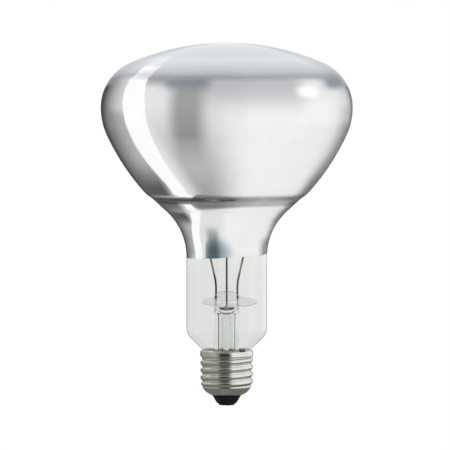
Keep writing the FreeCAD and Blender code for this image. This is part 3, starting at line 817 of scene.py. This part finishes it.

# %% [markdown]
# ## Materials: the silvering
# The film is bright aluminium. A dark blue-grey reflection is painted low on its front. Painted dark
# reflections also lie along the mould step, in a patch above the step, and low at its right edge.

# %% Paint a dark reflection low on the film's front
silvering, tree, shader = new_material("silvering", Metallic=1.0)
mottle = object_noise(tree, 60.0)
in_front = math_node("LESS_THAN", object_place(tree, "Y"), 0.0)
reflection_left, reflection_left_fade, reflection_dense, reflection_right = -11.0, 1.6, -7.5, 7.0
reflection_low_z, reflection_high_z, reflection_ragged = 77.0 * mm, 86.5 * mm, 1.5 * mm
ragged_z = math_node("ADD", object_place(tree, "Z"),
                     value_range(mottle, 0.3, 0.7, -reflection_ragged, reflection_ragged))
# Painted reflection: a dark blue-grey patch low on the front of the film, with a ragged upper edge.
painted_dark_reflection = combine("MULTIPLY", along(tree, "X", reflection_left, reflection_left + reflection_left_fade, 0.0, 1.0),
                    along(tree, "X", reflection_dense, reflection_right, 1.0, 0.0),
                    value_range(ragged_z, reflection_low_z, reflection_high_z, 1.0, 0.0, smooth=True), in_front)
bright_film = value_range(mottle, 0.3, 0.7, 0.0, 0.1)
film_tone = colour_ramp(math_node("MAXIMUM", bright_film, painted_dark_reflection),
                        (0.0, (0.86, 0.865, 0.87)), (0.1, (0.835, 0.84, 0.85)),
                        (0.5, (0.44, 0.51, 0.54)), (1.0, (0.19, 0.27, 0.31)))

# %% Paint dark reflections on the mould step and in a patch above it
step_top_z = on_arc(side, side_radius, -step_high)[1]
step_foot_z = on_arc(side, low_side_radius, -step_low)[1]
step_middle_z = 0.4 * step_top_z + 0.6 * step_foot_z
reflection_patch_height, reflection_patch_slope = 44.0, 0.68
# Painted reflection: a dark band along the mould step, darkest on the left.
off_step = math_node("ABSOLUTE",
                     math_node("SUBTRACT", object_place(tree, "Z"), step_middle_z * mm))
step_reach = math_node("SUBTRACT", along(tree, "X", -18, -14, 1.0, 2.8),
                       along(tree, "X", -10, 8, 0.0, 0.9, smooth=False))
in_step = value_range(math_node("DIVIDE", off_step, step_reach), 1.0 * mm, 1.9 * mm,
                      1.0, 0.0, smooth=True)
painted_step_reflection = math_node("MULTIPLY", in_step, along(tree, "X", -6, 16, 0.84, 0.5))

# Painted reflection: a dark patch above the step on the front, leaning up from left of middle.
over_step = math_node("SUBTRACT", object_place(tree, "Z"), step_top_z * mm)
leaning_x = math_node("ADD", object_place(tree, "X"),
                      math_node("MULTIPLY", over_step, reflection_patch_slope))
above_step = math_node("GREATER_THAN", object_place(tree, "Z"), step_middle_z * mm)
painted_patch_reflection = combine("MULTIPLY",
                     value_range(leaning_x, -19 * mm, -9 * mm, 0.0, 0.62, smooth=True),
                     along(tree, "X", -11, 13, 1.0, 0.0),
                     along(tree, "Z", step_top_z, step_top_z + reflection_patch_height, 1.0, 0.0, smooth=False),
                     in_front, above_step)
# Painted reflection: a dark patch low on the film's right edge.
painted_edge_reflection = math_node("MULTIPLY", along(tree, "X", 14.5, 18.5, 0.0, 0.75),
                      along(tree, "Z", 78, 85, 1.0, 0.0, smooth=False))
worn_tone_and_painted_reflection = combine("MAXIMUM", painted_step_reflection, painted_patch_reflection, painted_edge_reflection)

# %% Put the film together
film_fade = 0.6
film_top_z = on_arc(front, front_radius - film_inset, film_top_angle)[1]
# The painted dark reflections lay a near-black over the film's tone.
feed(shader, Base_Color=lay_over(film_tone, worn_tone_and_painted_reflection, (0.09, 0.092, 0.096)),
     Roughness=value_range(mottle, 0.3, 0.7, 0.03, 0.06),
     Alpha=along(tree, "Z", film_top_z - film_fade, film_top_z, 1.0, 0.0))
bump(shader, object_noise(tree, 26.0, 1.0), 0.03, 1.0 * mm)
print("film ends at", round(film_top_z, 2), "mould step at", round(step_middle_z, 2))

# %% [markdown]
# ## Materials: metals
# The cap is plated, with smudges. The contact's near-black tone is painted shade, and the solder is
# dark grey. The inside wires are dark nickel, with a golden highlight painted in a band above the disc.

# %% Make the metals


def worn_metal(name, clean, worn_tone_and_painted_reflection, smooth, rough, mark_scale, smudge, dent):
    """A metal between a clean and a dull tone, with marks in its gloss and its surface."""
    material, tree, shader = new_material(name, Metallic=1.0)
    marks = place_group(tree, handled_metal, Scale=mark_scale, Smudge=smudge)
    feed(shader, Base_Color=colour_ramp(marks.outputs["Smudges"], (0.15, clean), (0.6, worn_tone_and_painted_reflection)),
         Roughness=value_range(marks.outputs["Marks"], 0.3, 0.7, smooth, rough))
    bump(shader, marks.outputs["Marks"], dent, 0.05 * mm)
    return material


metal_looks = {
    # clean tone, dull tone, roughness from and to, scale of the marks, smudges, dents
    "cap_metal": ((0.84, 0.84, 0.82), (0.66, 0.66, 0.62), 0.14, 0.26, 260.0, 0.8, 0.15),
    # Painted shade: the contact's clean and dull tones are both near-black.
    "contact_brass": ((0.07, 0.06, 0.05), (0.03, 0.027, 0.024), 0.35, 0.55, 400.0, 1.0, 0.3),
    "solder": ((0.20, 0.20, 0.195), (0.11, 0.11, 0.105), 0.35, 0.6, 500.0, 1.0, 0.5),
    "tinned_wire": ((0.50, 0.49, 0.48), (0.32, 0.31, 0.31), 0.3, 0.45, 900.0, 1.0, 0.3),
    "dulled_wire": ((0.035, 0.037, 0.045), (0.02, 0.021, 0.027), 0.3, 0.45, 900.0, 1.0, 0.3),
    "copper_clad_wire": ((0.11, 0.075, 0.055), (0.06, 0.04, 0.03), 0.3, 0.4, 900.0, 1.0, 0.2),
    "molybdenum": ((0.45, 0.45, 0.47), (0.26, 0.26, 0.28), 0.3, 0.4, 900.0, 1.0, 0.2),
    "tungsten": ((0.36, 0.36, 0.38), (0.20, 0.20, 0.22), 0.35, 0.5, 900.0, 1.0, 0.2),
}
metals = {name: worn_metal(name, *look) for name, look in metal_looks.items()}

nickel_wire, tree, shader = new_material("nickel_wire", Metallic=1.0)
marks = place_group(tree, handled_metal, Scale=900.0, Smudge=0.5)
# Painted highlight: a golden band on the inner leads above the disc, dark below and above it.
golden_highlight_band = along(tree, "Z", 58, 80, 0.0, 1.0, smooth=False)
feed(shader, Base_Color=colour_ramp(golden_highlight_band, (0.30, (0.030, 0.031, 0.037)), (0.40, (0.30, 0.23, 0.10)),
                                    (0.55, (0.34, 0.26, 0.11)), (0.68, (0.07, 0.065, 0.06))),
     Roughness=value_range(marks.outputs["Marks"], 0.3, 0.7, 0.28, 0.45))
print("metals", len(metals) + 1)

# %% [markdown]
# ## Materials: black glass, mica, cement
# The poured glass is black with fine pits. Mica is a stack of clear flakes, and the cement is a
# gritty grey ring. All three take their tone, gloss and surface from one grain.

# %% Make the grained finishes


def grained(name, scale, detail, tones, gloss, strength, depth, **constants):
    """A finish whose tone, roughness and surface follow one noise."""
    material, tree, shader = new_material(name, **constants)
    grain = object_noise(tree, scale, detail)
    feed(shader, Base_Color=colour_ramp(grain, *tones), Roughness=value_range(grain, *gloss))
    bump(shader, grain, strength, depth * mm)
    return material


black_glass = grained("black_glass", 420.0, 4.0,
                      ((0.35, (0.006, 0.0065, 0.008)), (0.75, (0.014, 0.015, 0.018))),
                      (0.3, 0.8, 0.16, 0.38), 0.25, 0.1, IOR=glass_ior, Specular_IOR_Level=0.12)
mica = grained("mica", 260.0, 5.0, ((0.3, (0.955, 0.925, 0.915)), (0.7, (0.99, 0.97, 0.96))),
               (0.3, 0.7, 0.03, 0.10), 0.3, 0.1, IOR=1.58, Transmission_Weight=0.96, Specular_IOR_Level=0.1)
cement = grained("cement", 1500.0, 5.0, ((0.3, (0.74, 0.72, 0.67)), (0.7, (0.86, 0.84, 0.80))),
                 (0.3, 0.7, 0.75, 0.95), 0.6, 0.15)

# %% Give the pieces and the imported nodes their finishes
piece_finishes = (
    (bulb_envelope, bulb_glass, satin_glass, lining_glass), (mirror_film, silvering),
    (stem_glass, stem_tint), (threaded_shell, metals["cap_metal"]), (insulator_cone, black_glass),
    (contact_button, metals["contact_brass"]), (rim_solder_bead, metals["solder"]), (mica_disc, mica),
    (filament_coil, metals["tungsten"]),
)
for piece, *layers in piece_finishes:
    for material in layers:
        piece.data.materials.append(material)

node_finishes = (
    (stem_tint, "exhaust_tube"), (nickel_wire, "inner_lead_left", "inner_lead_right"),
    (metals["dulled_wire"], "support_post", "outer_lead_contact"),
    (metals["tinned_wire"], "outer_lead_shell"),
    (metals["copper_clad_wire"], "seal_wire_left", "seal_wire_right"),
    (metals["molybdenum"], "support_hook_1", "support_hook_2", "support_hook_3"),
    (metals["solder"], "contact_solder"), (cement, "basing_cement"),
)
for material, *names in node_finishes:
    for mesh in (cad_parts[name].data for name in names):
        mesh.materials.clear()
        mesh.materials.append(material)
print("dressed pieces", len(piece_finishes), "and nodes", sum(len(row) - 1 for row in node_finishes))

# %% [markdown]
# ## The camera
# The lamp was seen from about its own height with a long lens, a little from above. The field of
# view follows from the lamp's size in the picture.

# %% Place the camera
picture_pixels = 450
pixel_size = 0.4965 * mm
camera_distance = 3.0
camera_elevation = math.radians(3.03)
aim = Vector((-0.85 * mm, 0, 89.6 * mm))
camera_data = bpy.data.cameras.new("camera")
camera = bpy.data.objects.new("camera", camera_data)
scene.collection.objects.link(camera)
camera_data.lens = camera_data.sensor_width * camera_distance / (picture_pixels * pixel_size)
back_off = Vector((0, -math.cos(camera_elevation), math.sin(camera_elevation)))
camera.location = aim + back_off * camera_distance
camera.rotation_euler = (-back_off).to_track_quat("-Z", "Y").to_euler()
camera_data.clip_end = 100.0
scene.camera = camera
print("lens in mm", round(camera_data.lens))

# %% [markdown]
# ## The studio
# A mirror shows the room more than itself, so the room is painted with care. The world is white,
# and soft patches stand in it for the gaps between a photographer's lamps. A mirror shows the
# camera the spot that lies as far beyond its normal as the camera lies on this side. So each patch
# is placed by the mirror that shows it: how far it turns to the right and tilts to the ground.
# One set of patches is for the film behind its glass, and one for bare metal and the glass's own
# shine. What is seen straight through the glass is plain white.

# %% A soft patch of the surround
patch_inputs = {"Turn": 0.0, "Tilt": 0.0, "Middle Turn": 0.0, "Middle Tilt": 0.0, "Half Width": 10.0,
                "Half Height": 10.0, "Soft Width": 5.0, "Soft Height": 5.0}
soft_patch, patch_in, patch_out = new_group("soft_patch", patch_inputs, ["Mask"])
fades = []
for place, middle, half, soft in (("Turn", "Middle Turn", "Half Width", "Soft Width"),
                                  ("Tilt", "Middle Tilt", "Half Height", "Soft Height")):
    off = math_node("SUBTRACT", patch_in.outputs[place], patch_in.outputs[middle])
    apart = math_node("ABSOLUTE", off)
    beyond = math_node("SUBTRACT", apart, patch_in.outputs[half])
    share = math_node("DIVIDE", beyond, patch_in.outputs[soft])
    fades.append(value_range(share, 0.0, 1.0, 1.0, 0.0, smooth=True))
feed(patch_out, Mask=math_node("MULTIPLY", *fades))

# %% Find the mirror that shows each direction
world = bpy.data.worlds.new("studio")
scene.world = world
world.use_nodes = True
tree = world.node_tree
background = tree.nodes["Background"]
path = tree.nodes.new("ShaderNodeLightPath")
surround = tree.nodes.new("ShaderNodeTexCoord").outputs["Generated"]
mirror_normal = add_node(tree, "ShaderNodeVectorMath", {1: -back_off}, operation="SUBTRACT")
unit_normal = add_node(tree, "ShaderNodeVectorMath", operation="NORMALIZE")
normal_parts = tree.nodes.new("ShaderNodeSeparateXYZ")
tree.links.new(surround, mirror_normal.inputs[0])
tree.links.new(mirror_normal.outputs["Vector"], unit_normal.inputs[0])
feed(normal_parts, Vector=unit_normal.outputs["Vector"])
to_camera = math_node("MULTIPLY", normal_parts.outputs["Y"], -1.0)
turn_angle = math_node("DEGREES", math_node("ARCTAN2", normal_parts.outputs["X"], to_camera))
to_ground = math_node("MULTIPLY", normal_parts.outputs["Z"], -1.0)
tilt_angle = math_node("DEGREES", math_node("ARCSINE", to_ground))

# %% Tell the film from bare metal
# Light from the film has crossed the glass wall twice. The inner face of the wall counts as clear
# where the film is grown onto it.
mirrored = math_node("GREATER_THAN", path.outputs["Glossy Depth"], 0.5)
faces_crossed = path.outputs["Transmission Depth"]
clear_crossed = math_node("GREATER_THAN", path.outputs["Transparent Depth"], 1.5)
by_metal, through_one_wall, by_back = (
    math_node("MULTIPLY", mirrored, math_node("COMPARE", faces_crossed, faces, 0.5))
    for faces in (0, 2, 4))
by_film = math_node("MULTIPLY", through_one_wall, clear_crossed)

# %% Paint the surround
film_patches = (
    # turn, tilt, half width, half height, soft width, soft height
    ((28, 22, 24, 24, 14, 22), (1.13, 1.13, 1.135)),
    ((10, -54, 24, 18, 10, 48), (0.64, 0.645, 0.66)),
    ((14, -62, 40, 14, 10, 14), (0.60, 0.61, 0.63)),
    ((42, -24, 2, 2, 8, 9), (1.30, 1.30, 1.31)),
    ((-19, -15, 3, 36, 10, 14), (0.43, 0.44, 0.45)),
    ((-58, 20, 8, 14, 12, 10), (0.62, 0.62, 0.63)),
    ((-90, 0, 8, 90, 34, 1), (0.10, 0.10, 0.105)),
    ((-70, 42, 22, 2, 12, 11), (0.11, 0.11, 0.115)),
    ((90, 0, 4, 90, 26, 1), (0.42, 0.42, 0.43)),
    ((90, 16, 8, 14, 22, 10), (0.42, 0.42, 0.43)),
    ((84, 42, 10, 4, 20, 12), (0.25, 0.25, 0.26)),
    ((-34, -56, 8, 14, 10, 16), (0.42, 0.43, 0.45)),
    ((-20, -50, 7, 12, 9, 18), (0.30, 0.33, 0.37)),
    ((68, -44, 6, 12, 12, 12), (0.26, 0.29, 0.34)),
)
metal_patches = (
    ((0, 62, 90, 46, 1, 10), (0.19, 0.195, 0.17)),
    ((-60, -10, 44, 22, 12, 8), (0.42, 0.43, 0.38)),
    ((-6, 0, 4, 50, 16, 10), (0.22, 0.225, 0.20)),
    ((-4, -2, 8, 10, 10, 9), (0.03, 0.032, 0.03)),
    ((-92, 0, 12, 40, 14, 20), (0.08, 0.08, 0.075)),
    ((92, 0, 9, 40, 12, 20), (0.18, 0.18, 0.17)),
    ((-90, -60, 20, 26, 12, 8), (0.60, 0.61, 0.63)),
    ((90, -60, 20, 26, 12, 8), (0.65, 0.66, 0.68)),
    ((-48.5, -52, 5.5, 8, 1.5, 6), (3.4, 3.4, 3.4)),
    ((-49.5, -66, 4.5, 1.5, 1.5, 3), (1.6, 1.6, 1.6)),
    ((-50.5, -70, 3, 1, 2, 2), (1.3, 1.3, 1.3)),
)

painted = (1.0, 1.0, 1.0)
for gate, patches in ((by_film, film_patches), (by_metal, metal_patches)):
    for place, colour in patches:
        patch = place_group(tree, soft_patch, **dict(zip(list(patch_inputs)[2:], place)))
        feed(patch, Turn=turn_angle, Tilt=tilt_angle)
        gated = math_node("MULTIPLY", patch.outputs["Mask"], gate)
        painted = lay_over(painted, gated, colour)
print("patches", len(film_patches) + len(metal_patches))

# %% Darken what only the mould step can mirror
# The steep step shows the ground behind the lamp, which is darkest on the left.
step_mask = value_range(tilt_angle, 48.5, 53.0, 0.0, 1.0, smooth=True)
step_tone = colour_ramp(value_range(turn_angle, -70, 70, 0.0, 1.0),
                        (0.0, (0.20, 0.20, 0.21)), (0.36, (0.32, 0.32, 0.33)),
                        (0.5, (0.50, 0.50, 0.51)), (0.6, (0.80, 0.80, 0.81)),
                        (0.72, (1.0, 1.0, 1.0)), (0.84, (0.75, 0.75, 0.76)),
                        (0.95, (0.45, 0.45, 0.46)))
painted = lay_over(painted, math_node("MULTIPLY", step_mask, by_film), step_tone)

# The back of the lamp mirrors a plain room: bright at eye height, dimmer above, below and aside.
room_parts = tree.nodes.new("ShaderNodeSeparateXYZ")
feed(room_parts, Vector=surround)
room_tone = colour_ramp(value_range(room_parts.outputs["Z"], -1.0, 1.0, 0.0, 1.0),
                        (0.0, (0.70, 0.70, 0.71)), (0.25, (0.90, 0.90, 0.91)), (0.45, (1.0, 1.0, 1.0)),
                        (0.6, (0.95, 0.95, 0.96)), (0.8, (0.70, 0.70, 0.72)), (1.0, (0.60, 0.61, 0.63)))
from_middle = math_node("ABSOLUTE", room_parts.outputs["X"])
aside = value_range(from_middle, 0.45, 1.0, 0.0, 0.6, smooth=True)
painted = lay_over(painted, by_back, lay_over(room_tone, aside, (0.35, 0.35, 0.36)))
feed(background, Color=painted)

# %% Light from the surround and the floor
seen = combine("MAXIMUM", path.outputs["Is Camera Ray"], path.outputs["Is Glossy Ray"],
               path.outputs["Is Transmission Ray"])
room_light, seen_white = 0.7, 1.0
feed(background, Strength=value_range(seen, 0.0, 1.0, room_light, seen_white))


def hide_from(thing, *rays):
    """Hides a piece of the studio from some kinds of ray."""
    for ray in rays:
        setattr(thing, "visible_" + ray, False)


floor_z, floor_half = -1.6, 5.0
bm = bmesh.new()
bmesh.ops.create_grid(bm, x_segments=1, y_segments=1, size=floor_half)
bmesh.ops.translate(bm, verts=bm.verts[:], vec=(0, 0, floor_z))
floor = new_object(bm, "floor")
hide_from(floor, "glossy", "transmission")
paper, tree, shader = new_material("paper", Roughness=0.9)
feed(shader, Base_Color=colour_ramp(object_noise(tree, 2.0), (0.3, (0.90, 0.90, 0.90)),
                                    (0.7, (0.92, 0.92, 0.92))))
floor.data.materials.append(paper)

# %% The strip light
# A tall soft box stands on the left, seen by mirrors only. It leans back at both ends, so its two
# edges are drawn as bent lines and bridged.
strip_strength, strip_x = 1.3, -0.3
strip_left = (
    (1.446, 0.858), (0.533, 0.547), (0.187, 0.353), (0.096, 0.246), (0.068, 0.175), (0.057, 0.104),
    (0.072, 0.028), (0.108, -0.045), (0.118, -0.155), (0.128, -0.234), (0.239, -0.390), (0.300, -0.430))
strip_right = (
    (1.200, 1.030), (0.404, 0.664), (0.091, 0.450), (-0.026, 0.324), (-0.084, 0.200), (-0.093, 0.105),
    (-0.077, 0.007), (-0.036, -0.095), (0.001, -0.260), (0.038, -0.382), (0.140, -0.546), (0.265, -0.737))
bm = bmesh.new()
for bends in (strip_left, strip_right):
    tip = bm.verts.new((strip_x, *bends[0]))
    for bend in bends[1:]:
        tip = bmesh.ops.extrude_vert_indiv(bm, verts=[tip])["verts"][0]
        tip.co = (strip_x, *bend)
bmesh.ops.bridge_loops(bm, edges=bm.edges[:])
print("strip faces", len(bm.faces))
strip_light = new_object(bm, "strip_light")
strip_glow = bpy.data.materials.new("strip_glow")
strip_glow.use_nodes = True
tree = strip_glow.node_tree
tree.nodes.clear()
glow = add_node(tree, "ShaderNodeEmission", {"Strength": strip_strength})
feed(tree.nodes.new("ShaderNodeOutputMaterial"), Surface=glow.outputs["Emission"])
strip_light.data.materials.append(strip_glow)
hide_from(strip_light, "camera", "diffuse", "shadow", "glossy")

# %% Soft lamps for what isn't a mirror
studio_centre = Vector((0, 0, 130 * mm))
lamps = {"key": ((-0.9, -1.2, 1.1), 6.0, 0.8), "fill": ((1.1, -1.0, 0.5), 4.0, 0.9)}
for name, (place, power, size) in lamps.items():
    lamp_data = bpy.data.lights.new(name, "AREA")
    lamp_data.energy = power
    lamp_data.size = size
    lamp = bpy.data.objects.new(name, lamp_data)
    lamp.location = place
    lamp.rotation_euler = (studio_centre - Vector(place)).to_track_quat("-Z", "Y").to_euler()
    hide_from(lamp, "glossy", "transmission")
    scene.collection.objects.link(lamp)
scene.cycles.max_bounces = 24
scene.cycles.blur_glossy = 0.0
scene.cycles.diffuse_bounces = 10
scene.cycles.glossy_bounces = 8
scene.cycles.transmission_bounces = 16
scene.cycles.transparent_max_bounces = 24
print("lamps", list(lamps))
